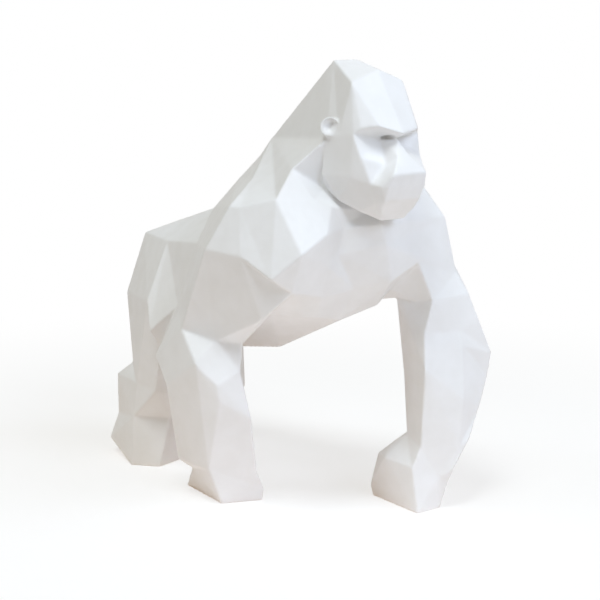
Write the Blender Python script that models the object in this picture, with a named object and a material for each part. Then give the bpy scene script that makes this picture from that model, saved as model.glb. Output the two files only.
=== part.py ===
# Faceted gorilla figurine, cast in one piece, standing on two fists and two feet.
# Metres, Z up. The animal faces -Y and its left side is on +X.

import math

import bpy
import bmesh
from mathutils import Vector

# Driving sizes, all real sizes in metres
HEAD_WIDTH = 0.050
HEAD_LENGTH = 0.0545
HEAD_HEIGHT = 0.0823
CHEST_WIDTH = 0.144
CHEST_LENGTH = 0.132
CHEST_HEIGHT = 0.0985
RUMP_WIDTH = 0.098
RUMP_LENGTH = 0.078
RUMP_HEIGHT = 0.069
ARM_HEIGHT = 0.105
RIGHT_ARM_WIDTH = 0.050
RIGHT_ARM_DEPTH = 0.066
LEFT_ARM_WIDTH = 0.057
LEFT_ARM_DEPTH = 0.055
LEG_HEIGHT = 0.078
LEG_WIDTH = 0.037
LEG_DEPTH = 0.066
EAR_WIDTH = 0.0114
EAR_HEIGHT = 0.0112
EAR_THICKNESS = 0.0065
EAR_RIM = 0.0015
EAR_HOLLOW = 0.0034
EAR_STAND = 0.0005
EAR_SIDES = 12

# Each block of the body is drawn once in millimetres and stretched to its named sizes.
# A block holds where it starts on the drawing, its drawn size and its real size.
CHEST_START = (0.0, -18.0, 105.0)
CHEST_DRAWN = (144.0, 132.0, 98.5)
HEAD_START = (0.0, -62.0, 192.0)
HEAD_DRAWN = (50.0, 54.5, 82.3)
RUMP_START = (0.0, 75.0, 78.0)
RUMP_DRAWN = (98.0, 78.0, 69.0)
RIGHT_ARM_START = (-56.0, 10.0, 0.0)
RIGHT_ARM_DRAWN = (50.0, 66.0, 105.0)
LEFT_ARM_START = (56.0, -55.0, 0.0)
LEFT_ARM_DRAWN = (57.0, 55.0, 105.0)
LEG_START = (28.0, 105.0, 0.0)
LEG_DRAWN = (37.0, 66.0, 78.0)


def clear_objects():
    for item in list(bpy.data.objects):
        bpy.data.objects.remove(item, do_unlink=True)


def make_block(start, drawn, real, place):
    ratio = Vector((real[0] / drawn[0], real[1] / drawn[1], real[2] / drawn[2]))
    return {"start": Vector(start), "ratio": ratio, "place": Vector(place)}


def stretch(block, point):
    offset = Vector(point) - block["start"]
    return block["place"] + offset * block["ratio"]


def make_blocks():
    chest_place = (CHEST_START[0] * 0.001, CHEST_START[1] * 0.001, ARM_HEIGHT)
    chest = make_block(CHEST_START, CHEST_DRAWN, (CHEST_WIDTH, CHEST_LENGTH, CHEST_HEIGHT), chest_place)
    head_place = stretch(chest, HEAD_START)
    head = make_block(HEAD_START, HEAD_DRAWN, (HEAD_WIDTH, HEAD_LENGTH, HEAD_HEIGHT), head_place)
    rump_place = stretch(chest, RUMP_START)
    rump_place.z = LEG_HEIGHT
    rump = make_block(RUMP_START, RUMP_DRAWN, (RUMP_WIDTH, RUMP_LENGTH, RUMP_HEIGHT), rump_place)
    right_place = stretch(chest, RIGHT_ARM_START)
    right_place.z = 0.0
    right_real = (RIGHT_ARM_WIDTH, RIGHT_ARM_DEPTH, ARM_HEIGHT)
    right_arm = make_block(RIGHT_ARM_START, RIGHT_ARM_DRAWN, right_real, right_place)
    left_place = stretch(chest, LEFT_ARM_START)
    left_place.z = 0.0
    left_real = (LEFT_ARM_WIDTH, LEFT_ARM_DEPTH, ARM_HEIGHT)
    left_arm = make_block(LEFT_ARM_START, LEFT_ARM_DRAWN, left_real, left_place)
    leg_place = stretch(rump, LEG_START)
    leg_place.z = 0.0
    leg = make_block(LEG_START, LEG_DRAWN, (LEG_WIDTH, LEG_DEPTH, LEG_HEIGHT), leg_place)
    return {
        "chest": chest,
        "head": head,
        "rump": rump,
        "right_arm": right_arm,
        "left_arm": left_arm,
        "leg": leg,
    }


# Corners on the middle plane
HEAD_MIDDLE = {
    "top_front": (0, -78, 246),
    "brow_mid": (0, -99, 214),
    "bridge": (0, -94, 211.5),
    "throat": (0, -70, 171),
}
CHEST_MIDDLE = {
    "spine_top": (0, 27, 193),
    "spine": (0, 48, 178),
    "belly_front": (0, -47, 108),
}
RUMP_MIDDLE = {
    "waist_top": (0, 75, 157.5),
    "rump_mid": (0, 110, 147),
    "rump_cleft": (0, 134, 96),
    "crotch": (0, 98, 82),
    "belly_back": (0, 40, 78.5),
    "belly_low": (0, 9, 83.5),
}

# Corners that come in pairs, written for the animal's left and mirrored to its right
HEAD_PAIRS = {
    "crown": (8, -50.5, 250),
    "temple": (18, -78.5, 240),
    "temple_low": (23.5, -75, 213),
    "brow_in": (12, -95, 218),
    "brow_out": (19.5, -88.5, 216.5),
    "brow_arch": (16, -91.5, 217.5),
    "brow_end": (22, -85, 214),
    "eye": (5, -86, 211),
    "cheek_out": (20, -89, 202),
    "cheek_in": (7.5, -93.5, 198.3),
    "nose_top": (4, -100, 202),
    "nose": (11, -105, 194),
    "muzzle": (12.6, -102.3, 187),
    "lip": (12.4, -99, 180),
    "chin_side": (9, -92.3, 173.8),
    "chin": (4, -86.5, 167.7),
    "mouth": (15.4, -99, 187.7),
    "jowl_top": (16, -92.5, 188),
    "jowl_low": (12, -93, 179),
    "jaw_mid": (22, -83, 191.5),
    "jaw_back": (25, -62, 192),
    "ear_base": (24.5, -65.7, 210.3),
    "jaw_low_back": (20, -71, 178),
    "jaw_low": (14, -80, 173),
}
CHEST_PAIRS = {
    "neck_back": (5, 9, 204.5),
    "neck_side": (38, -54, 194.5),
    "neck_in": (19, -58, 184),
    "collar": (32, -65.5, 178.5),
    "breast_top": (24, -70, 175),
    "shoulder_back": (38, -18, 186),
    "blade": (62, -31, 174.5),
    "blade_front": (60, -38, 174.5),
    "shoulder_out": (72, -22, 151),
    "waist_side": (38, 36, 144.5),
    "flank": (49, 39.5, 109),
    "flank_rear": (40, 54, 106),
    "pit_mid": (34, -30, 113),
    "pit_back": (38, 10, 106),
}
RUMP_PAIRS = {
    "rump_top": (8, 140, 136),
    "hip_top": (26, 86, 138.5),
    "rump_rear": (22, 140, 100),
    "rump_side": (45, 80, 105),
    "thigh_out": (50, 69.5, 89.5),
    "thigh_front": (42, 72, 78.5),
}
LEG_PAIRS = {
    "thigh_in": (10, 72, 76),
    "thigh_in_back": (8, 122, 72),
    "rump_low": (24, 131, 57),
    "calf_top": (29, 142, 48),
    "calf_out": (40, 101, 51),
    "knee_out": (40, 80, 50),
    "knee": (26, 77, 44),
    "knee_in": (13, 77, 46),
    "calf_in": (12, 124, 46),
    "ankle_back": (30, 140, 23),
    "ankle_out": (42, 102, 30),
    "instep": (26, 86, 30),
    "instep_in": (12, 93, 28),
    "ankle_in": (12, 126, 24),
    "heel": (38, 137, 9),
    "sole_out": (45, 101, 0),
    "sole_front": (33, 87, 0),
    "sole_in": (13, 94, 0),
    "sole_heel_in": (8, 128, 0),
    "sole_heel": (25, 135, 0),
}

# The left hind leg stands a little further back than the right one
LEFT_RUMP = {
    "flank_rear_l": (45, 70, 104),
    "rump_side_l": (46, 98, 103),
    "thigh_out_l": (49, 84, 88),
    "thigh_front_l": (36, 97, 78),
}
LEFT_LEG = {
    "thigh_in_l": (12, 80, 76),
    "knee_out_l": (38, 100, 50),
    "knee_l": (27, 82, 43),
    "knee_in_l": (14, 80, 46),
    "calf_out_l": (41, 114, 51),
    "calf_top_l": (29, 147, 48),
    "calf_in_l": (12, 128, 46),
    "ankle_back_l": (30, 146, 23),
    "ankle_out_l": (42, 112, 30),
    "instep_l": (27, 94, 30),
    "instep_in_l": (12, 98, 28),
    "ankle_in_l": (12, 132, 24),
    "heel_l": (38, 143, 9),
    "sole_out_l": (45, 110, 0),
    "sole_front_l": (34, 95, 0),
    "sole_in_l": (13, 98, 0),
    "sole_heel_in_l": (9, 134, 0),
    "sole_heel_l": (26, 141, 0),
}

# The head isn't quite the same on its left: the brow ends lower, and cheek and chin are fuller
HEAD_LEFT = {
    "temple_l": (16, -79, 240),
    "cheek_in_l": (15.3, -97, 197.5),
    "mouth_l": (13, -96, 187),
    "chin_side_l": (14, -92.3, 173.8),
    "chin_l": (12, -86.5, 167.7),
    "brow_in_l": (13, -95, 215.5),
    "brow_arch_l": (17, -91, 215),
    "brow_out_l": (19.5, -88, 214.5),
    "brow_end_l": (22, -85, 213),
}

# Corners of the chest that differ from side to side
CHEST_RIGHT = {
    "deltoid_top_r": (-51, -57.5, 179.8),
    "deltoid_low_r": (-48, -76, 152.5),
    "arm_side_r": (-65.8, -45.4, 149.5),
    "arm_front_r": (-60, -65, 139),
    "armpit_r": (-46, -65, 130.5),
    "arm_inner_r": (-53, -47.5, 114.5),
    "breast_side_r": (-31.5, -76, 161.5),
    "breast_mid_r": (-16, -70, 163),
    "rib_top_r": (-18, -68, 149),
    "breast_low_r": (-24, -68, 142.5),
    "chest_low_r": (-4, -63, 129),
    "chest_top": (2, -80, 165),
    "chest_mid": (6, -79, 153.5),
    "rib_side_r": (-34, -55, 122.5),
    "rib_mid_r": (-22, -59, 125),
    "rib_in_r": (-7, -62.5, 127.5),
    "rib_low_r": (-24, -44, 111.5),
    "rib_low_in_r": (-16, -49, 111.5),
}
CHEST_LEFT = {
    "deltoid_top_l": (57, -52, 176.5),
    "deltoid_low_l": (60, -65, 162),
    "arm_side_l": (72, -46, 150),
    "arm_front_l": (65, -69, 132),
    "armpit_l": (32, -51.5, 122.5),
    "chest_low_l": (14, -74, 132),
    "arm_root_l": (32.5, -74.3, 140.7),
    "arm_fold_l": (41.5, -76.5, 119),
    "arm_fold_in_l": (40, -66, 116.5),
    "arm_in_l": (38, -50, 117),
    "arm_out_l": (70, -75, 119),
    "arm_rear_l": (76, -38, 116),
    "arm_rear_in_l": (62, -24, 112),
    "belly_side_l": (18, -57, 116),
}
RIGHT_ARM = {
    "elbow_out_r": (-65, 12.5, 101.5),
    "elbow_fold_r": (-55, -6.5, 96.6),
    "elbow_in_r": (-44, -17, 95.5),
    "elbow_rear_r": (-62, 44.5, 81),
    "elbow_rear_in_r": (-44, 36, 86),
    "elbow_mid_in_r": (-38, 4, 93),
    "forearm_out_r": (-71, -10.5, 86.5),
    "forearm_edge_r": (-61.7, -18, 74.7),
    "forearm_in_r": (-46, -17.5, 80.4),
    "forearm_rear_r": (-68, 24, 68.5),
    "forearm_low_r": (-60, -17.5, 65.3),
    "forearm_low_in_r": (-40.5, -20, 53),
    "forearm_side_in_r": (-34, 2, 60),
    "forearm_back_r": (-50, 40, 50),
    "forearm_back_in_r": (-34, 34, 50),
    "wrist_rear_r": (-55, 33, 21),
    "wrist_out_r": (-56.5, -0.5, 22.5),
    "wrist_in_r": (-30, -10, 20.5),
    "wrist_back_in_r": (-30, 30, 20),
    "hand_notch_r": (-48, 29, 15.5),
    "hand_rear_r": (-41, 45.5, 0),
    "hand_front_r": (-23, -7.5, 7.5),
    "fist_out_r": (-46, 2, 0),
    "fist_in_r": (-23, -6, 0),
    "fist_rear_in_r": (-20, 36, 0),
}
LEFT_ARM = {
    "upper_out_l": (76, -77, 104),
    "fold_low_in_l": (35.5, -77, 100.5),
    "fold_low_l": (61.5, -77, 99.6),
    "elbow_l": (86, -77, 84),
    "elbow_rear_l": (84, -42, 88),
    "elbow_rear_in_l": (60, -32, 86),
    "forearm_top_in_l": (42, -52, 75.5),
    "forearm_front_in_l": (32, -81.5, 82.5),
    "elbow_low_l": (84, -76, 71),
    "forearm_out_l": (74, -81, 56),
    "forearm_ridge_l": (56, -87, 63),
    "ridge_top_l": (61, -80, 92),
    "forearm_back_l": (72, -48, 56),
    "forearm_back_in_l": (56, -41, 58),
    "wrist_ridge_l": (54, -86, 36),
    "wrist_out_l": (62, -86, 39),
    "wrist_in_l": (33, -77.5, 37.5),
    "wrist_back_in_l": (38, -60, 40.5),
    "wrist_back_l": (60, -50, 36),
    "wrist_rear_in_l": (52, -46, 38),
    "wrist_low_l": (51, -86, 24),
    "knuckle_back_l": (34, -52, 35),
    "knuckle_l": (32, -42, 27),
    "fist_top_rear_l": (26, -55, 28),
    "fist_top_l": (28, -76.5, 26),
    "fist_front_l": (44, -80, 19),
    "fist_edge_l": (50, -82, 15),
    "fist_low_rear_l": (31, -36, 6),
    "fist_rear_out_l": (54, -42, 22),
    "base_rear_l": (33, -36, 0),
    "base_front_l": (30, -79, 0),
    "base_front_out_l": (48, -78, 0),
    "base_rear_out_l": (52, -42, 0),
}

# Facets that are mirrored: a star stands for the side
PAIRED_FACETS = [
    ("top_front", "crown*", "temple*"),
    ("crown*", "temple_low*", "temple*"),
    ("temple*", "temple_low*", "brow_end*"),
    ("top_front", "temple*", "brow_in*"),
    ("temple*", "brow_arch*", "brow_in*"),
    ("temple*", "brow_out*", "brow_arch*"),
    ("temple*", "brow_end*", "brow_out*"),
    ("top_front", "brow_in*", "brow_mid"),
    ("brow_end*", "eye*", "brow_out*"),
    ("brow_out*", "eye*", "brow_arch*"),
    ("brow_arch*", "eye*", "brow_in*"),
    ("brow_in*", "eye*", "bridge"),
    ("brow_in*", "bridge", "brow_mid"),
    ("brow_end*", "cheek_out*", "eye*"),
    ("cheek_out*", "cheek_in*", "eye*"),
    ("eye*", "cheek_in*", "nose_top*"),
    ("cheek_in*", "nose*", "nose_top*"),
    ("bridge", "eye*", "nose_top*"),
    ("cheek_out*", "jowl_top*", "cheek_in*"),
    ("cheek_in*", "jowl_top*", "mouth*"),
    ("cheek_in*", "mouth*", "nose*"),
    ("nose*", "mouth*", "muzzle*"),
    ("muzzle*", "mouth*", "lip*"),
    ("jowl_top*", "jowl_low*", "mouth*"),
    ("mouth*", "jowl_low*", "lip*"),
    ("lip*", "jowl_low*", "chin_side*"),
    ("chin_side*", "jowl_low*", "chin*"),
    ("temple_low*", "jaw_mid*", "brow_end*"),
    ("temple_low*", "ear_base*", "jaw_mid*"),
    ("brow_end*", "cheek_out*", "jaw_mid*"),
    ("cheek_out*", "jowl_top*", "jaw_mid*"),
    ("ear_base*", "jaw_mid*", "jaw_back*"),
    ("jaw_back*", "jaw_mid*", "jaw_low_back*"),
    ("jaw_mid*", "jaw_low*", "jaw_low_back*"),
    ("jaw_mid*", "jowl_top*", "jaw_low*"),
    ("jowl_top*", "jowl_low*", "jaw_low*"),
    ("jowl_low*", "chin*", "jaw_low*"),
    ("chin*", "throat", "jaw_low*"),
    ("jaw_low*", "throat", "jaw_low_back*"),
    ("crown*", "ear_base*", "temple_low*"),
    ("crown*", "neck_back*", "ear_base*"),
    ("ear_base*", "neck_side*", "neck_back*"),
    ("ear_base*", "jaw_back*", "neck_in*"),
    ("jaw_back*", "jaw_low_back*", "neck_in*"),
    ("jaw_low_back*", "throat", "neck_in*"),
    ("ear_base*", "neck_in*", "neck_side*"),
    ("neck_side*", "neck_in*", "collar*"),
    ("collar*", "neck_in*", "breast_top*"),
    ("breast_top*", "neck_in*", "throat"),
    ("neck_back*", "neck_side*", "deltoid_top*"),
    ("neck_back*", "deltoid_top*", "shoulder_back*"),
    ("shoulder_back*", "deltoid_top*", "blade_front*"),
    ("shoulder_back*", "blade_front*", "blade*"),
    ("neck_back*", "shoulder_back*", "spine_top"),
    ("spine_top", "shoulder_back*", "spine"),
    ("spine", "shoulder_back*", "blade*"),
    ("spine", "blade*", "waist_top"),
    ("waist_top", "blade*", "waist_side*"),
    ("blade*", "shoulder_out*", "waist_side*"),
    ("shoulder_out*", "flank*", "waist_side*"),
    ("neck_side*", "deltoid_top*", "deltoid_low*"),
    ("rump_mid", "hip_top*", "waist_top"),
    ("waist_top", "hip_top*", "waist_side*"),
    ("rump_mid", "rump_top*", "hip_top*"),
    ("rump_top*", "hip_top*", "rump_side*"),
    ("rump_top*", "rump_side*", "rump_rear*"),
    ("hip_top*", "waist_side*", "flank_rear*"),
    ("waist_side*", "flank*", "flank_rear*"),
    ("hip_top*", "flank_rear*", "thigh_out*"),
    ("hip_top*", "thigh_out*", "rump_side*"),
    ("rump_top*", "rump_rear*", "rump_cleft"),
    ("rump_rear*", "rump_side*", "calf_out*"),
    ("rump_rear*", "calf_out*", "rump_low*"),
    ("rump_side*", "thigh_out*", "thigh_front*"),
    ("rump_side*", "thigh_front*", "calf_out*"),
    ("thigh_front*", "knee_out*", "calf_out*"),
    ("flank_rear*", "thigh_front*", "thigh_out*"),
    ("flank*", "thigh_front*", "flank_rear*"),
    ("flank*", "thigh_in*", "thigh_front*"),
    ("thigh_front*", "knee*", "knee_out*"),
    ("thigh_front*", "thigh_in*", "knee*"),
    ("thigh_in*", "knee_in*", "knee*"),
    ("rump_low*", "calf_out*", "calf_top*"),
    ("calf_top*", "calf_out*", "ankle_out*"),
    ("calf_top*", "ankle_out*", "ankle_back*"),
    ("calf_out*", "knee_out*", "ankle_out*"),
    ("knee_out*", "instep*", "ankle_out*"),
    ("knee_out*", "knee*", "instep*"),
    ("knee*", "knee_in*", "instep*"),
    ("knee_in*", "instep_in*", "instep*"),
    ("knee_in*", "calf_in*", "instep_in*"),
    ("calf_in*", "ankle_in*", "instep_in*"),
    ("calf_top*", "ankle_back*", "calf_in*"),
    ("calf_in*", "ankle_back*", "ankle_in*"),
    ("rump_low*", "calf_top*", "calf_in*"),
    ("rump_low*", "calf_in*", "thigh_in_back*"),
    ("thigh_in_back*", "calf_in*", "knee_in*"),
    ("thigh_in_back*", "knee_in*", "thigh_in*"),
    ("rump_cleft", "rump_rear*", "rump_low*"),
    ("rump_cleft", "rump_low*", "thigh_in_back*"),
    ("rump_cleft", "thigh_in_back*", "crotch"),
    ("crotch", "thigh_in_back*", "thigh_in*"),
    ("crotch", "thigh_in*", "belly_back"),
    ("ankle_out*", "instep*", "sole_front*"),
    ("ankle_out*", "sole_front*", "sole_out*"),
    ("instep*", "instep_in*", "sole_in*"),
    ("instep*", "sole_in*", "sole_front*"),
    ("instep_in*", "ankle_in*", "sole_heel_in*"),
    ("instep_in*", "sole_heel_in*", "sole_in*"),
    ("ankle_in*", "ankle_back*", "sole_heel*"),
    ("ankle_in*", "sole_heel*", "sole_heel_in*"),
    ("ankle_back*", "heel*", "sole_heel*"),
    ("ankle_back*", "ankle_out*", "heel*"),
    ("ankle_out*", "sole_out*", "heel*"),
    ("heel*", "sole_out*", "sole_heel*"),
    ("sole_out*", "sole_front*", "sole_in*", "sole_heel_in*", "sole_heel*"),
    ("flank*", "pit_back*", "thigh_in*"),
    ("pit_back*", "belly_back", "thigh_in*"),
    ("pit_back*", "belly_low", "belly_back"),
    ("pit_mid*", "belly_low", "pit_back*"),
    ("pit_mid*", "belly_front", "belly_low"),
]

# Facets that cross the middle plane
MIDDLE_FACETS = [
    ("crown_r", "crown_l", "top_front"),
    ("crown_r", "neck_back_r", "neck_back_l", "crown_l"),
    ("neck_back_r", "spine_top", "neck_back_l"),
    ("bridge", "nose_top_r", "nose_top_l"),
    ("nose_top_r", "nose_r", "nose_l", "nose_top_l"),
    ("nose_r", "muzzle_r", "muzzle_l", "nose_l"),
    ("muzzle_r", "lip_r", "lip_l", "muzzle_l"),
    ("lip_r", "chin_side_r", "chin_side_l", "lip_l"),
    ("chin_side_r", "chin_r", "chin_l", "chin_side_l"),
    ("chin_r", "throat", "chin_l"),
    ("rump_mid", "rump_top_l", "rump_top_r"),
    ("rump_top_r", "rump_top_l", "rump_cleft"),
]

# Facets of the right chest and shoulder
RIGHT_CHEST_FACETS = [
    ("neck_side_r", "deltoid_low_r", "breast_side_r"),
    ("neck_side_r", "breast_side_r", "collar_r"),
    ("collar_r", "breast_side_r", "breast_top_r"),
    ("blade_r", "blade_front_r", "arm_side_r"),
    ("blade_r", "arm_side_r", "shoulder_out_r"),
    ("blade_front_r", "deltoid_top_r", "arm_front_r"),
    ("blade_front_r", "arm_front_r", "arm_side_r"),
    ("deltoid_top_r", "deltoid_low_r", "arm_front_r"),
    ("deltoid_low_r", "armpit_r", "arm_front_r"),
    ("deltoid_low_r", "breast_low_r", "armpit_r"),
    ("deltoid_low_r", "breast_side_r", "breast_low_r"),
    ("breast_top_r", "breast_side_r", "breast_mid_r"),
    ("breast_side_r", "breast_low_r", "breast_mid_r"),
    ("breast_mid_r", "breast_low_r", "rib_top_r"),
    ("breast_top_r", "breast_mid_r", "throat"),
    ("breast_mid_r", "chest_top", "throat"),
    ("breast_mid_r", "rib_top_r", "chest_mid"),
    ("breast_mid_r", "chest_mid", "chest_top"),
    ("rib_top_r", "breast_low_r", "chest_low_r"),
    ("rib_top_r", "chest_low_r", "chest_low_l"),
    ("rib_top_r", "chest_low_l", "chest_mid"),
    ("breast_low_r", "armpit_r", "rib_mid_r"),
    ("armpit_r", "rib_side_r", "rib_mid_r"),
    ("breast_low_r", "rib_mid_r", "chest_low_r"),
    ("rib_mid_r", "rib_in_r", "chest_low_r"),
    ("rib_side_r", "rib_low_r", "rib_mid_r"),
    ("rib_mid_r", "rib_low_r", "rib_low_in_r"),
    ("rib_mid_r", "rib_low_in_r", "rib_in_r"),
    ("rib_in_r", "belly_front", "chest_low_r"),
    ("rib_in_r", "rib_low_in_r", "belly_front"),
    ("chest_low_r", "belly_front", "chest_low_l"),
    ("armpit_r", "pit_mid_r", "rib_side_r"),
    ("rib_side_r", "pit_mid_r", "rib_low_r"),
    ("rib_low_r", "pit_mid_r", "belly_front"),
    ("rib_low_r", "belly_front", "rib_low_in_r"),
]

# Facets of the right arm
RIGHT_ARM_FACETS = [
    ("shoulder_out_r", "arm_side_r", "elbow_fold_r"),
    ("shoulder_out_r", "elbow_fold_r", "elbow_out_r"),
    ("arm_side_r", "arm_front_r", "armpit_r"),
    ("arm_side_r", "armpit_r", "arm_inner_r"),
    ("arm_side_r", "arm_inner_r", "elbow_fold_r"),
    ("arm_inner_r", "elbow_in_r", "elbow_fold_r"),
    ("shoulder_out_r", "elbow_out_r", "flank_r"),
    ("elbow_out_r", "elbow_rear_r", "flank_r"),
    ("armpit_r", "arm_inner_r", "pit_mid_r"),
    ("arm_inner_r", "elbow_in_r", "pit_mid_r"),
    ("elbow_in_r", "elbow_mid_in_r", "pit_mid_r"),
    ("pit_mid_r", "elbow_mid_in_r", "pit_back_r"),
    ("pit_back_r", "elbow_mid_in_r", "elbow_rear_in_r"),
    ("pit_back_r", "elbow_rear_in_r", "flank_r"),
    ("flank_r", "elbow_rear_in_r", "elbow_rear_r"),
    ("elbow_out_r", "elbow_fold_r", "forearm_out_r"),
    ("elbow_fold_r", "forearm_edge_r", "forearm_out_r"),
    ("elbow_fold_r", "elbow_in_r", "forearm_in_r"),
    ("elbow_fold_r", "forearm_in_r", "forearm_edge_r"),
    ("forearm_edge_r", "forearm_in_r", "forearm_low_in_r"),
    ("forearm_edge_r", "forearm_low_in_r", "forearm_low_r"),
    ("forearm_edge_r", "forearm_low_r", "forearm_out_r"),
    ("elbow_out_r", "forearm_out_r", "forearm_rear_r"),
    ("elbow_out_r", "forearm_rear_r", "elbow_rear_r"),
    ("forearm_out_r", "forearm_low_r", "wrist_out_r"),
    ("forearm_out_r", "wrist_out_r", "forearm_rear_r"),
    ("forearm_rear_r", "wrist_out_r", "wrist_rear_r"),
    ("forearm_low_r", "forearm_low_in_r", "wrist_in_r"),
    ("forearm_low_r", "wrist_in_r", "wrist_out_r"),
    ("wrist_out_r", "wrist_in_r", "hand_front_r"),
    ("wrist_out_r", "hand_front_r", "fist_in_r"),
    ("wrist_out_r", "fist_in_r", "fist_out_r"),
    ("elbow_in_r", "forearm_side_in_r", "forearm_in_r"),
    ("elbow_in_r", "elbow_mid_in_r", "forearm_side_in_r"),
    ("forearm_in_r", "forearm_side_in_r", "forearm_low_in_r"),
    ("forearm_low_in_r", "forearm_side_in_r", "wrist_in_r"),
    ("elbow_mid_in_r", "elbow_rear_in_r", "forearm_side_in_r"),
    ("elbow_rear_in_r", "forearm_back_in_r", "forearm_side_in_r"),
    ("forearm_side_in_r", "forearm_back_in_r", "wrist_back_in_r"),
    ("forearm_side_in_r", "wrist_back_in_r", "wrist_in_r"),
    ("elbow_rear_r", "elbow_rear_in_r", "forearm_back_in_r"),
    ("elbow_rear_r", "forearm_back_in_r", "forearm_back_r"),
    ("elbow_rear_r", "forearm_back_r", "forearm_rear_r"),
    ("forearm_rear_r", "forearm_back_r", "wrist_rear_r"),
    ("forearm_back_r", "forearm_back_in_r", "wrist_back_in_r"),
    ("forearm_back_r", "wrist_back_in_r", "wrist_rear_r"),
    ("wrist_rear_r", "wrist_out_r", "hand_notch_r"),
    ("hand_notch_r", "wrist_out_r", "fist_out_r"),
    ("hand_notch_r", "fist_out_r", "hand_rear_r"),
    ("wrist_rear_r", "hand_notch_r", "wrist_back_in_r"),
    ("hand_notch_r", "hand_rear_r", "wrist_back_in_r"),
    ("hand_rear_r", "fist_rear_in_r", "wrist_back_in_r"),
    ("wrist_back_in_r", "fist_rear_in_r", "wrist_in_r"),
    ("wrist_in_r", "fist_rear_in_r", "hand_front_r"),
    ("hand_front_r", "fist_rear_in_r", "fist_in_r"),
    ("fist_out_r", "fist_in_r", "fist_rear_in_r", "hand_rear_r"),
]

# Facets of the left chest and shoulder
LEFT_CHEST_FACETS = [
    ("neck_side_l", "deltoid_low_l", "collar_l"),
    ("collar_l", "deltoid_low_l", "breast_top_l"),
    ("blade_l", "blade_front_l", "arm_side_l"),
    ("blade_l", "arm_side_l", "shoulder_out_l"),
    ("blade_front_l", "deltoid_top_l", "arm_side_l"),
    ("deltoid_top_l", "deltoid_low_l", "arm_side_l"),
    ("deltoid_low_l", "arm_front_l", "arm_side_l"),
    ("throat", "breast_top_l", "chest_top"),
    ("breast_top_l", "deltoid_low_l", "chest_top"),
    ("chest_top", "deltoid_low_l", "chest_mid"),
    ("chest_mid", "deltoid_low_l", "arm_front_l"),
    ("chest_mid", "arm_front_l", "arm_root_l"),
    ("chest_mid", "arm_root_l", "chest_low_l"),
    ("chest_low_l", "arm_root_l", "armpit_l"),
    ("arm_root_l", "arm_fold_in_l", "armpit_l"),
    ("armpit_l", "arm_fold_in_l", "arm_in_l"),
    ("chest_low_l", "armpit_l", "belly_side_l"),
    ("chest_low_l", "belly_side_l", "belly_front"),
    ("belly_side_l", "armpit_l", "pit_mid_l"),
    ("belly_side_l", "pit_mid_l", "belly_front"),
    ("armpit_l", "arm_in_l", "pit_mid_l"),
]

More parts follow.
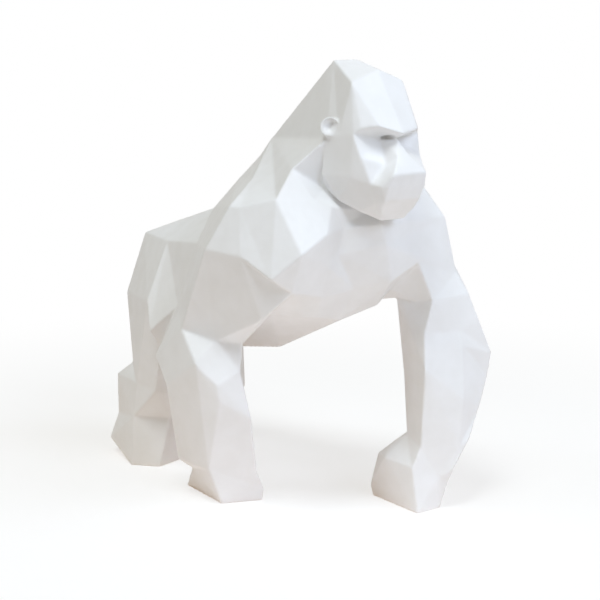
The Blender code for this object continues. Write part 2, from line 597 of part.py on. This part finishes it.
# Facets of the left arm
LEFT_ARM_FACETS = [
    ("arm_root_l", "arm_front_l", "arm_fold_l"),
    ("arm_root_l", "arm_fold_l", "arm_fold_in_l"),
    ("arm_front_l", "arm_out_l", "arm_fold_l"),
    ("arm_front_l", "arm_side_l", "arm_out_l"),
    ("arm_side_l", "arm_rear_l", "arm_out_l"),
    ("arm_side_l", "shoulder_out_l", "arm_rear_l"),
    ("shoulder_out_l", "flank_l", "arm_rear_in_l"),
    ("shoulder_out_l", "arm_rear_in_l", "arm_rear_l"),
    ("flank_l", "pit_back_l", "arm_rear_in_l"),
    ("pit_back_l", "pit_mid_l", "arm_rear_in_l"),
    ("pit_mid_l", "arm_in_l", "arm_rear_in_l"),
    ("arm_fold_l", "arm_out_l", "fold_low_l"),
    ("arm_out_l", "upper_out_l", "fold_low_l"),
    ("upper_out_l", "elbow_l", "fold_low_l"),
    ("arm_fold_in_l", "arm_fold_l", "fold_low_in_l"),
    ("arm_fold_l", "fold_low_l", "fold_low_in_l"),
    ("arm_out_l", "arm_rear_l", "upper_out_l"),
    ("upper_out_l", "arm_rear_l", "elbow_rear_l"),
    ("upper_out_l", "elbow_rear_l", "elbow_l"),
    ("arm_rear_l", "arm_rear_in_l", "elbow_rear_in_l"),
    ("arm_rear_l", "elbow_rear_in_l", "elbow_rear_l"),
    ("arm_in_l", "forearm_top_in_l", "arm_rear_in_l"),
    ("arm_rear_in_l", "forearm_top_in_l", "elbow_rear_in_l"),
    ("arm_in_l", "arm_fold_in_l", "fold_low_in_l"),
    ("arm_in_l", "fold_low_in_l", "forearm_front_in_l"),
    ("arm_in_l", "forearm_front_in_l", "forearm_top_in_l"),
    ("fold_low_in_l", "fold_low_l", "ridge_top_l"),
    ("fold_low_in_l", "ridge_top_l", "forearm_front_in_l"),
    ("forearm_front_in_l", "ridge_top_l", "forearm_ridge_l"),
    ("forearm_front_in_l", "forearm_ridge_l", "wrist_ridge_l"),
    ("forearm_front_in_l", "wrist_ridge_l", "wrist_in_l"),
    ("wrist_in_l", "wrist_ridge_l", "fist_front_l"),
    ("fold_low_l", "elbow_l", "ridge_top_l"),
    ("ridge_top_l", "elbow_l", "elbow_low_l"),
    ("ridge_top_l", "elbow_low_l", "forearm_ridge_l"),
    ("forearm_ridge_l", "elbow_low_l", "forearm_out_l"),
    ("forearm_ridge_l", "forearm_out_l", "wrist_ridge_l"),
    ("forearm_out_l", "wrist_out_l", "wrist_ridge_l"),
    ("wrist_ridge_l", "wrist_out_l", "wrist_low_l"),
    ("wrist_ridge_l", "wrist_low_l", "fist_front_l"),
    ("elbow_l", "elbow_rear_l", "elbow_low_l"),
    ("elbow_low_l", "elbow_rear_l", "forearm_back_l"),
    ("elbow_low_l", "forearm_back_l", "forearm_out_l"),
    ("forearm_out_l", "forearm_back_l", "wrist_back_l"),
    ("forearm_out_l", "wrist_back_l", "wrist_out_l"),
    ("elbow_rear_l", "elbow_rear_in_l", "forearm_back_in_l"),
    ("elbow_rear_l", "forearm_back_in_l", "forearm_back_l"),
    ("forearm_back_l", "forearm_back_in_l", "wrist_back_l"),
    ("elbow_rear_in_l", "forearm_top_in_l", "forearm_back_in_l"),
    ("forearm_top_in_l", "wrist_back_in_l", "forearm_back_in_l"),
    ("forearm_back_in_l", "wrist_back_in_l", "wrist_rear_in_l"),
    ("forearm_back_in_l", "wrist_rear_in_l", "wrist_back_l"),
    ("wrist_back_in_l", "knuckle_back_l", "wrist_rear_in_l"),
    ("wrist_rear_in_l", "knuckle_back_l", "wrist_back_l"),
    ("forearm_top_in_l", "forearm_front_in_l", "wrist_in_l"),
    ("forearm_top_in_l", "wrist_in_l", "wrist_back_in_l"),
    ("wrist_back_in_l", "wrist_in_l", "fist_top_l"),
    ("wrist_back_in_l", "fist_top_l", "fist_top_rear_l"),
    ("wrist_back_in_l", "fist_top_rear_l", "knuckle_back_l"),
    ("knuckle_back_l", "fist_top_rear_l", "knuckle_l"),
    ("wrist_in_l", "fist_front_l", "fist_top_l"),
    ("fist_top_l", "fist_front_l", "base_front_l"),
    ("fist_front_l", "fist_edge_l", "base_front_out_l"),
    ("fist_front_l", "base_front_out_l", "base_front_l"),
    ("fist_front_l", "wrist_low_l", "fist_edge_l"),
    ("fist_top_rear_l", "fist_top_l", "base_front_l"),
    ("fist_top_rear_l", "base_front_l", "base_rear_l"),
    ("fist_top_rear_l", "base_rear_l", "fist_low_rear_l"),
    ("knuckle_l", "fist_top_rear_l", "fist_low_rear_l"),
    ("knuckle_back_l", "knuckle_l", "fist_rear_out_l"),
    ("knuckle_back_l", "fist_rear_out_l", "wrist_back_l"),
    ("knuckle_l", "fist_low_rear_l", "fist_rear_out_l"),
    ("fist_low_rear_l", "base_rear_l", "base_rear_out_l"),
    ("fist_low_rear_l", "base_rear_out_l", "fist_rear_out_l"),
    ("wrist_out_l", "wrist_back_l", "wrist_low_l"),
    ("wrist_low_l", "wrist_back_l", "fist_edge_l"),
    ("wrist_back_l", "fist_rear_out_l", "fist_edge_l"),
    ("fist_edge_l", "fist_rear_out_l", "base_rear_out_l"),
    ("fist_edge_l", "base_rear_out_l", "base_front_out_l"),
    ("base_rear_l", "base_front_l", "base_front_out_l", "base_rear_out_l"),
]


def centre_over_floor(spots):
    # The origin lies on the floor under the middle of the whole figure
    wide = [spot.x for spot in spots.values()]
    deep = [spot.y for spot in spots.values()]
    middle = Vector(((min(wide) + max(wide)) * 0.5, (min(deep) + max(deep)) * 0.5, 0.0))
    return {name: spot - middle for name, spot in spots.items()}


def place_corners(blocks):
    spots = {}
    for block_name, table in (("head", HEAD_MIDDLE), ("chest", CHEST_MIDDLE), ("rump", RUMP_MIDDLE)):
        for name, point in table.items():
            spots[name] = stretch(blocks[block_name], point)
    pair_tables = (("head", HEAD_PAIRS), ("chest", CHEST_PAIRS), ("rump", RUMP_PAIRS), ("leg", LEG_PAIRS))
    for block_name, table in pair_tables:
        for name, point in table.items():
            left = stretch(blocks[block_name], point)
            spots[name + "_l"] = left
            spots[name + "_r"] = Vector((-left.x, left.y, left.z))
    side_tables = (
        ("head", HEAD_LEFT),
        ("rump", LEFT_RUMP),
        ("leg", LEFT_LEG),
        ("chest", CHEST_RIGHT),
        ("chest", CHEST_LEFT),
        ("right_arm", RIGHT_ARM),
        ("left_arm", LEFT_ARM),
    )
    for block_name, table in side_tables:
        for name, point in table.items():
            spots[name] = stretch(blocks[block_name], point)
    return centre_over_floor(spots)


def list_facets():
    facets = []
    for facet in PAIRED_FACETS:
        facets.append(tuple(name.replace("*", "_r") for name in facet))
        facets.append(tuple(name.replace("*", "_l") for name in facet))
    facets.extend(MIDDLE_FACETS)
    facets.extend(RIGHT_CHEST_FACETS)
    facets.extend(RIGHT_ARM_FACETS)
    facets.extend(LEFT_CHEST_FACETS)
    facets.extend(LEFT_ARM_FACETS)
    return facets


def build_body(spots, facets):
    mesh = bpy.data.meshes.new("gorilla_figurine")
    form = bmesh.new()
    points = {}
    for facet in facets:
        for name in facet:
            if name not in points:
                points[name] = form.verts.new(spots[name])
    for facet in facets:
        form.faces.new([points[name] for name in facet])
    bmesh.ops.recalc_face_normals(form, faces=form.faces)
    bmesh.ops.triangulate(form, faces=form.faces)
    form.to_mesh(mesh)
    form.free()
    body = bpy.data.objects.new("gorilla_figurine", mesh)
    bpy.context.collection.objects.link(body)
    return body


def make_ear(side, spots):
    # A small cup turned towards the front: its front lower edge is sunk in the head, its
    # back edge stands off it, and its hollow lies high and forward
    sign = 1.0 if side == "_l" else -1.0
    outward = Vector((sign * 0.86, -0.48, 0.16)).normalized()
    forward = Vector((0.0, 0.0, 1.0)).cross(outward).normalized() * -sign
    upward = Vector((0.0, 0.0, 1.0))
    upward = (upward - outward * upward.dot(outward)).normalized()
    middle = spots["ear_base" + side].lerp(spots["temple_low" + side], 0.3)
    centre = middle + Vector((sign * EAR_STAND, 0.0, EAR_HEIGHT * 0.5))
    rim_share = 1.0 - 2.0 * EAR_RIM / EAR_WIDTH
    shift = EAR_RIM * 0.35
    rings = (
        (-EAR_THICKNESS, 0.70, 0.0),
        (-EAR_THICKNESS * 0.1, 1.0, 0.0),
        (EAR_THICKNESS * 0.1, 0.92, 0.0),
        (0.0, rim_share, shift),
        (-EAR_HOLLOW, 0.45, shift),
    )
    form = bmesh.new()
    loops = []
    for depth, share, moved in rings:
        loop = []
        for step in range(EAR_SIDES):
            angle = 2.0 * math.pi * (step + 0.5) / EAR_SIDES
            spot = centre + outward * depth + (forward + upward) * moved
            spot = spot + forward * (math.cos(angle) * EAR_WIDTH * 0.5 * share)
            spot = spot + upward * (math.sin(angle) * EAR_HEIGHT * 0.5 * share)
            loop.append(form.verts.new(spot))
        loops.append(loop)
    for first, second in zip(loops[:-1], loops[1:]):
        for step in range(EAR_SIDES):
            after = (step + 1) % EAR_SIDES
            form.faces.new((first[step], first[after], second[after], second[step]))
    form.faces.new(loops[0])
    form.faces.new(loops[-1])
    bmesh.ops.recalc_face_normals(form, faces=form.faces)
    mesh = bpy.data.meshes.new("ear_cutter" + side)
    form.to_mesh(mesh)
    form.free()
    ear = bpy.data.objects.new("ear" + side, mesh)
    ear.hide_render = True
    ear.display_type = "WIRE"
    bpy.context.collection.objects.link(ear)
    return ear


def join_ear(body, ear):
    union = body.modifiers.new("join_" + ear.name, "BOOLEAN")
    union.operation = "UNION"
    union.solver = "EXACT"
    union.object = ear


def make_resin():
    resin = bpy.data.materials.new("cast_resin")
    resin.use_nodes = True
    shader = resin.node_tree.nodes["Principled BSDF"]
    shader.inputs["Base Color"].default_value = (0.83, 0.82, 0.82, 1.0)
    shader.inputs["Metallic"].default_value = 0.0
    shader.inputs["Roughness"].default_value = 0.6
    return resin


def main():
    clear_objects()
    blocks = make_blocks()
    spots = place_corners(blocks)
    body = build_body(spots, list_facets())
    for side in ("_r", "_l"):
        join_ear(body, make_ear(side, spots))
    body.data.materials.append(make_resin())


main()
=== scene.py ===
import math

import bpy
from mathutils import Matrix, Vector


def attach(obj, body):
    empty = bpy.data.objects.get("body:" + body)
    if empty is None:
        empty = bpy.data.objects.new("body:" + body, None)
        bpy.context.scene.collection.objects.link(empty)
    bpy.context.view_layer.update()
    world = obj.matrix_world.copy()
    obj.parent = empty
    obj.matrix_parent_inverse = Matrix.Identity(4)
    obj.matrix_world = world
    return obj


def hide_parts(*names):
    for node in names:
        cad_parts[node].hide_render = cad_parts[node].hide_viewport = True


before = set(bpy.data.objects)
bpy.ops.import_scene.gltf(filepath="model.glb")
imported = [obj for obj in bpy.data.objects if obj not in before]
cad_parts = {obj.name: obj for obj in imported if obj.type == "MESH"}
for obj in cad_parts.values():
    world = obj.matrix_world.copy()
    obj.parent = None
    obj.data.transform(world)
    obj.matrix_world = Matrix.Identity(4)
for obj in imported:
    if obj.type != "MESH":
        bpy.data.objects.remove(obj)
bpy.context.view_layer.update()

# Gorilla with flat-cut facets, cast in one piece of white resin, on a pale studio floor.
# Metres, Z up. The animal faces -Y and its left side is on +X.

mm = 0.001
print("frame loaded")


# Small helpers

def toLinear(hexColour):
    # sRGB hex to the linear values that shaders take
    channels = []
    for start in (1, 3, 5):
        value = int(hexColour[start:start + 2], 16) / 255.0
        if value <= 0.04045:
            channels.append(value / 12.92)
        else:
            channels.append(((value + 0.055) / 1.055) ** 2.4)
    return (channels[0], channels[1], channels[2], 1.0)


def addNode(tree, kind, settings=None, values=None, links=None):
    # Adds one node with its settings, its socket values and its incoming links
    node = tree.nodes.new(kind)
    for name, value in (settings or {}).items():
        setattr(node, name, value)
    for socket, value in (values or {}).items():
        node.inputs[socket].default_value = value
    for socket, source in (links or {}).items():
        tree.links.new(source, node.inputs[socket])
    return node


def emptyTree(owner):
    owner.use_nodes = True
    owner.node_tree.nodes.clear()
    return owner.node_tree


def selectOnly(piece):
    bpy.ops.object.select_all(action="DESELECT")
    piece.select_set(True)
    bpy.context.view_layer.objects.active = piece


def applyModifier(piece, kind, settings):
    selectOnly(piece)
    modifier = piece.modifiers.new(kind.lower(), kind)
    for name, value in settings.items():
        setattr(modifier, name, value)
    bpy.ops.object.modifier_apply(modifier=modifier.name)


# Camera: where the photograph was taken from

cameraView = {
    "target": (0.001, -0.021, 0.1116),
    "round": 37.0,          # degrees from straight in front to the animal's right
    "above": 10.5,          # degrees above level
    "distance": 1.0,
    "lens": 105.0,
    "sensor": 36.0,
    "nearest": 0.01,
}


def placeCamera(view):
    around = math.radians(view["round"])
    above = math.radians(view["above"])
    level = math.cos(above)
    reach = Vector((-math.sin(around) * level, -math.cos(around) * level, math.sin(above)))
    bpy.ops.object.camera_add(location=Vector(view["target"]) + reach * view["distance"])
    camera = bpy.context.object
    camera.name = "photoCamera"
    camera.rotation_euler = (-reach).to_track_quat("-Z", "Y").to_euler()
    camera.data.lens = view["lens"]
    camera.data.sensor_width = view["sensor"]
    camera.data.clip_start = view["nearest"]
    bpy.context.scene.camera = camera


bpy.ops.object.select_all(action="DESELECT")
placeCamera(cameraView)
print("camera placed")


# Body: a merged copy of the CAD solid, with the slots of the eyes, and with its sharp cut edges
# worn as soft as a mould gives them

castBody = {
    "weld": 0.01 * mm,
    "voxel": 0.7 * mm,
    "softenRounds": 9,
    "softenShare": 0.5,
    "keptShare": 0.2,       # share of the faces that is kept, since the flat facets need few
    "eyeSlot": (4.4 * mm, 8.5 * mm, 2.5 * mm),    # width, depth and height
    # the right eye, from the middle of the head
    "eyePlace": (-2.8 * mm, -89.75 * mm, 211.9 * mm),
    "headMiddle": (-7.0 * mm, -21.0 * mm, 0.0),
}


def cutEye(body, sizes, side):
    # One narrow slot between the brow and the cheek: side 1.0 is the right eye, -1.0 the left
    place = Vector(sizes["eyePlace"])
    spot = Vector(sizes["headMiddle"]) + Vector((place.x * side, place.y, place.z))
    bpy.ops.object.select_all(action="DESELECT")
    bpy.ops.mesh.primitive_cube_add(size=1.0, location=spot)
    cutter = bpy.context.object
    cutter.scale = sizes["eyeSlot"]
    applyModifier(body, "BOOLEAN", {"operation": "DIFFERENCE", "solver": "EXACT", "object": cutter})
    selectOnly(cutter)
    bpy.ops.object.delete()


def makeBody(sizes):
    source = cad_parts["gorilla_figurine"]
    body = source.copy()
    body.data = source.data.copy()
    body.name = "castGorilla"
    body.data.name = "castGorilla"
    body.data.materials.clear()
    bpy.context.collection.objects.link(body)
    selectOnly(body)
    bpy.ops.object.mode_set(mode="EDIT")
    bpy.ops.mesh.select_all(action="SELECT")
    bpy.ops.mesh.remove_doubles(threshold=sizes["weld"])
    bpy.ops.object.mode_set(mode="OBJECT")
    for side in (1.0, -1.0):
        cutEye(body, sizes, side)
    applyModifier(body, "REMESH", {"mode": "VOXEL", "voxel_size": sizes["voxel"]})
    applyModifier(body, "SMOOTH",
                  {"factor": sizes["softenShare"], "iterations": sizes["softenRounds"]})
    applyModifier(body, "DECIMATE", {"decimate_type": "COLLAPSE", "ratio": sizes["keptShare"]})
    selectOnly(body)
    bpy.ops.object.shade_smooth()
    return body


gorilla = makeBody(castBody)
print("body made,", len(gorilla.data.polygons), "faces")


# Material: white polyresin poured in a rubber mould and left matte.
# It is an even chalky white with a faint cloudy tone, a skin as fine as plaster and faces that
# are a little wavy where the resin shrank.

resinLook = {
    "pale": "#F4F5F7",
    "deep": "#EAEAEA",
    "cloudSize": 14.0 * mm,
    "cloudDetail": 3.0,
    "cloudRoughness": 0.55,
    # the real grain is under 0.1 mm, so it is drawn as coarse as it needs to show
    "grainSize": 0.9 * mm,
    "grainDetail": 2.0,
    "grainHeight": 0.03 * mm,
    "swellSize": 9.0 * mm,
    "swellDetail": 1.0,
    "swellHeight": 0.25 * mm,
    "ior": 1.5,
    "roughLow": 0.52,
    "roughHigh": 0.66,
}


def makeResin(look):
    material = bpy.data.materials.new("mattePolyresin")
    material.use_nodes = True
    tree = material.node_tree
    shader = tree.nodes["Principled BSDF"]
    shader.inputs["IOR"].default_value = look["ior"]
    place = addNode(tree, "ShaderNodeTexCoord").outputs["Object"]
    cloud = addNode(tree, "ShaderNodeTexNoise",
                    values={"Scale": 1.0 / look["cloudSize"], "Detail": look["cloudDetail"],
                            "Roughness": look["cloudRoughness"]},
                    links={"Vector": place})
    tone = addNode(tree, "ShaderNodeMix", {"data_type": "RGBA"},
                   {6: toLinear(look["deep"]), 7: toLinear(look["pale"])},
                   {0: cloud.outputs["Fac"]})
    grain = addNode(tree, "ShaderNodeTexNoise",
                    values={"Scale": 1.0 / look["grainSize"], "Detail": look["grainDetail"]},
                    links={"Vector": place})
    swell = addNode(tree, "ShaderNodeTexNoise",
                    values={"Scale": 1.0 / look["swellSize"], "Detail": look["swellDetail"]},
                    links={"Vector": place})
    rough = addNode(tree, "ShaderNodeMapRange",
                    values={"To Min": look["roughLow"], "To Max": look["roughHigh"]},
                    links={"Value": grain.outputs["Fac"]})
    swellBump = addNode(tree, "ShaderNodeBump",
                        values={"Strength": 1.0, "Distance": look["swellHeight"]},
                        links={"Height": swell.outputs["Fac"]})
    grainBump = addNode(tree, "ShaderNodeBump",
                        values={"Strength": 1.0, "Distance": look["grainHeight"]},
                        links={"Height": grain.outputs["Fac"],
                               "Normal": swellBump.outputs["Normal"]})
    tree.links.new(tone.outputs[2], shader.inputs["Base Color"])
    tree.links.new(rough.outputs["Result"], shader.inputs["Roughness"])
    tree.links.new(grainBump.outputs["Normal"], shader.inputs["Normal"])
    return material


gorilla.data.materials.append(makeResin(resinLook))
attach(gorilla, "root")
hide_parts("gorilla_figurine")
print("resin applied")


# Floor: to the camera it is pale, mostly by its own glow, so that only a soft shadow shows on it.
# To the object it is a white sheet that throws back a little warm light, with a duller floor
# round it.

floorLook = {
    "size": 30.0,
    "colour": "#F6F6F6",
    "glow": 0.62,           # how white it looks to the camera by itself
    "lit": 0.45,            # how much of the light and shadow on it the camera sees
    "whiteFrom": 0.22,      # distances over which it turns plain white to the camera
    "whiteTo": 0.55,
    "warmColour": "#FFAC30",
    "warmStrength": 0.145,
    "dullColour": "#DCDCDC",
    "dullFrom": 0.30,       # distances over which the sheet gives way to the duller floor
    "dullTo": 0.60,
}


def makeFloor(look):
    bpy.ops.object.select_all(action="DESELECT")
    bpy.ops.mesh.primitive_plane_add(size=look["size"], location=(0.0, 0.0, 0.0))
    floor = bpy.context.object
    floor.name = "studioFloor"
    material = bpy.data.materials.new("paleStudioFloor")
    tree = emptyTree(material)
    colour = toLinear(look["colour"])
    seen = [channel * look["lit"] for channel in colour[:3]] + [1.0]
    path = addNode(tree, "ShaderNodeLightPath")
    place = addNode(tree, "ShaderNodeTexCoord").outputs["Object"]
    away = addNode(tree, "ShaderNodeVectorMath", {"operation": "LENGTH"}, links={0: place})
    shares = {}
    for name in ("dull", "white"):
        share = addNode(tree, "ShaderNodeMapRange", {"interpolation_type": "SMOOTHSTEP"},
                        {"From Min": look[name + "From"], "From Max": look[name + "To"]},
                        {"Value": away.outputs["Value"]})
        shares[name] = share.outputs["Result"]
    plain = addNode(tree, "ShaderNodeBsdfDiffuse", values={"Color": colour})
    warm = addNode(tree, "ShaderNodeEmission",
                   values={"Color": toLinear(look["warmColour"]), "Strength": look["warmStrength"]})
    sheet = addNode(tree, "ShaderNodeAddShader", links={0: plain.outputs[0], 1: warm.outputs[0]})
    dull = addNode(tree, "ShaderNodeBsdfDiffuse", values={"Color": toLinear(look["dullColour"])})
    matt = addNode(tree, "ShaderNodeMixShader",
                   links={0: shares["dull"], 1: sheet.outputs[0], 2: dull.outputs[0]})
    dimmed = addNode(tree, "ShaderNodeBsdfDiffuse", values={"Color": seen})
    glow = addNode(tree, "ShaderNodeEmission", values={"Strength": look["glow"]})
    near = addNode(tree, "ShaderNodeAddShader", links={0: dimmed.outputs[0], 1: glow.outputs[0]})
    white = addNode(tree, "ShaderNodeEmission", values={"Strength": 1.0})
    shown = addNode(tree, "ShaderNodeMixShader",
                    links={0: shares["white"], 1: near.outputs[0], 2: white.outputs[0]})
    mixed = addNode(tree, "ShaderNodeMixShader",
                    links={0: path.outputs["Is Camera Ray"],
                           1: matt.outputs[0], 2: shown.outputs[0]})
    addNode(tree, "ShaderNodeOutputMaterial", links={"Surface": mixed.outputs[0]})
    floor.data.materials.append(material)


makeFloor(floorLook)
print("floor laid")


# Sky: plain white where it is seen, a dim warm light elsewhere

skyLook = {
    "colour": "#FFE6AC",
    "strength": 0.19,
}


def makeSky(look):
    world = bpy.data.worlds.new("studioSky")
    bpy.context.scene.world = world
    tree = emptyTree(world)
    path = addNode(tree, "ShaderNodeLightPath")
    seen = path.outputs["Is Camera Ray"]
    for kind in ("Is Glossy Ray", "Is Transmission Ray"):
        seen = addNode(tree, "ShaderNodeMath", {"operation": "MAXIMUM"},
                       links={0: seen, 1: path.outputs[kind]}).outputs[0]
    soft = addNode(tree, "ShaderNodeBackground",
                   values={"Color": toLinear(look["colour"]), "Strength": look["strength"]})
    white = addNode(tree, "ShaderNodeBackground",
                    values={"Color": (1.0, 1.0, 1.0, 1.0), "Strength": 1.0})
    mixed = addNode(tree, "ShaderNodeMixShader",
                    links={0: seen, 1: soft.outputs[0], 2: white.outputs[0]})
    addNode(tree, "ShaderNodeOutputWorld", links={"Surface": mixed.outputs[0]})


makeSky(skyLook)


# Lamps: a strong one high on the right of the animal, one lower in front, and two weaker ones,
# on its left and behind its right shoulder. All are cool and soft.

lampSet = {
    "size": 1.3,
    "aim": (0.0, 0.0, 0.11),
    "lamps": {              # place, power and colour of each
        "keyLamp": ((-1.464, -0.845, 3.735), 68.4, "#F4FBFC"),
        "frontLamp": ((-0.296, -3.379, 2.23), 43.8, "#D7E5FC"),
        "sideLamp": ((0.884, -1.531, 1.878), 22.6, "#DBE8FC"),
        "backLamp": ((-3.0, 1.2, 3.2), 21.6, "#DBE8FC"),
    },
}


def addLamps(settings):
    for name, (place, power, colour) in settings["lamps"].items():
        bpy.ops.object.light_add(type="AREA", location=place)
        lamp = bpy.context.object
        lamp.name = name
        aim = Vector(settings["aim"]) - Vector(place)
        lamp.rotation_euler = aim.to_track_quat("-Z", "Y").to_euler()
        lamp.data.size = settings["size"]
        lamp.data.energy = power
        lamp.data.color = toLinear(colour)[:3]


addLamps(lampSet)
bpy.context.scene.view_settings.view_transform = "Standard"
print("studio lit")
